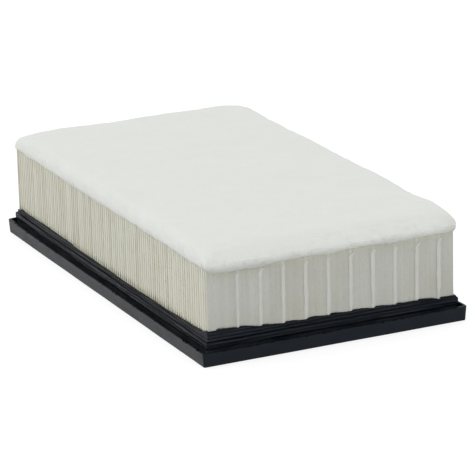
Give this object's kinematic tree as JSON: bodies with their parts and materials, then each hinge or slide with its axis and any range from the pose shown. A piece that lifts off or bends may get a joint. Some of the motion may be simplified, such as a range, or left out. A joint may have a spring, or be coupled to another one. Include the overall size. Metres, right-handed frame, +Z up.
{
  "type": "air filter",
  "caption": "Rectangular panel air filter: pleated paper pack in a soft black seal frame with an outer lip and groove, under a white felt pre-filter pad.",
  "frame": {"origin": "middle of the seal frame's flat underside, which is the lowest point of the part", "axes": "+X along the long side, which the pleats are stacked along; +Y along the pleats' folds; +Z up from the clean side to the felt"},
  "size_m": [0.3, 0.17, 0.0667],
  "materials": {
    "seal_polyurethane": "matte, soft moulded skin",
    "filter_paper": "matte cream filter paper",
    "felt_batting": "soft white lofted felt",
    "hot_melt_glue": "waxy ivory"
  },
  "bodies": {
    "root": {"seal_frame": "seal_polyurethane", "pleated_media": "filter_paper", "prefilter_felt": "felt_batting", "edge_bond_left": "hot_melt_glue", "edge_bond_right": "hot_melt_glue", "top_glue_bead_01": "hot_melt_glue", "top_glue_bead_02": "hot_melt_glue", "top_glue_bead_03": "hot_melt_glue", "top_glue_bead_04": "hot_melt_glue", "top_glue_bead_05": "hot_melt_glue", "top_glue_bead_06": "hot_melt_glue", "top_glue_bead_07": "hot_melt_glue", "top_glue_bead_08": "hot_melt_glue", "top_glue_bead_09": "hot_melt_glue", "top_glue_bead_10": "hot_melt_glue", "top_glue_bead_11": "hot_melt_glue", "bottom_glue_bead_01": "hot_melt_glue", "bottom_glue_bead_02": "hot_melt_glue", "bottom_glue_bead_03": "hot_melt_glue", "bottom_glue_bead_04": "hot_melt_glue", "bottom_glue_bead_05": "hot_melt_glue", "bottom_glue_bead_06": "hot_melt_glue", "bottom_glue_bead_07": "hot_melt_glue", "bottom_glue_bead_08": "hot_melt_glue", "bottom_glue_bead_09": "hot_melt_glue", "bottom_glue_bead_10": "hot_melt_glue", "bottom_glue_bead_11": "hot_melt_glue"}
  },
  "joints": []
}
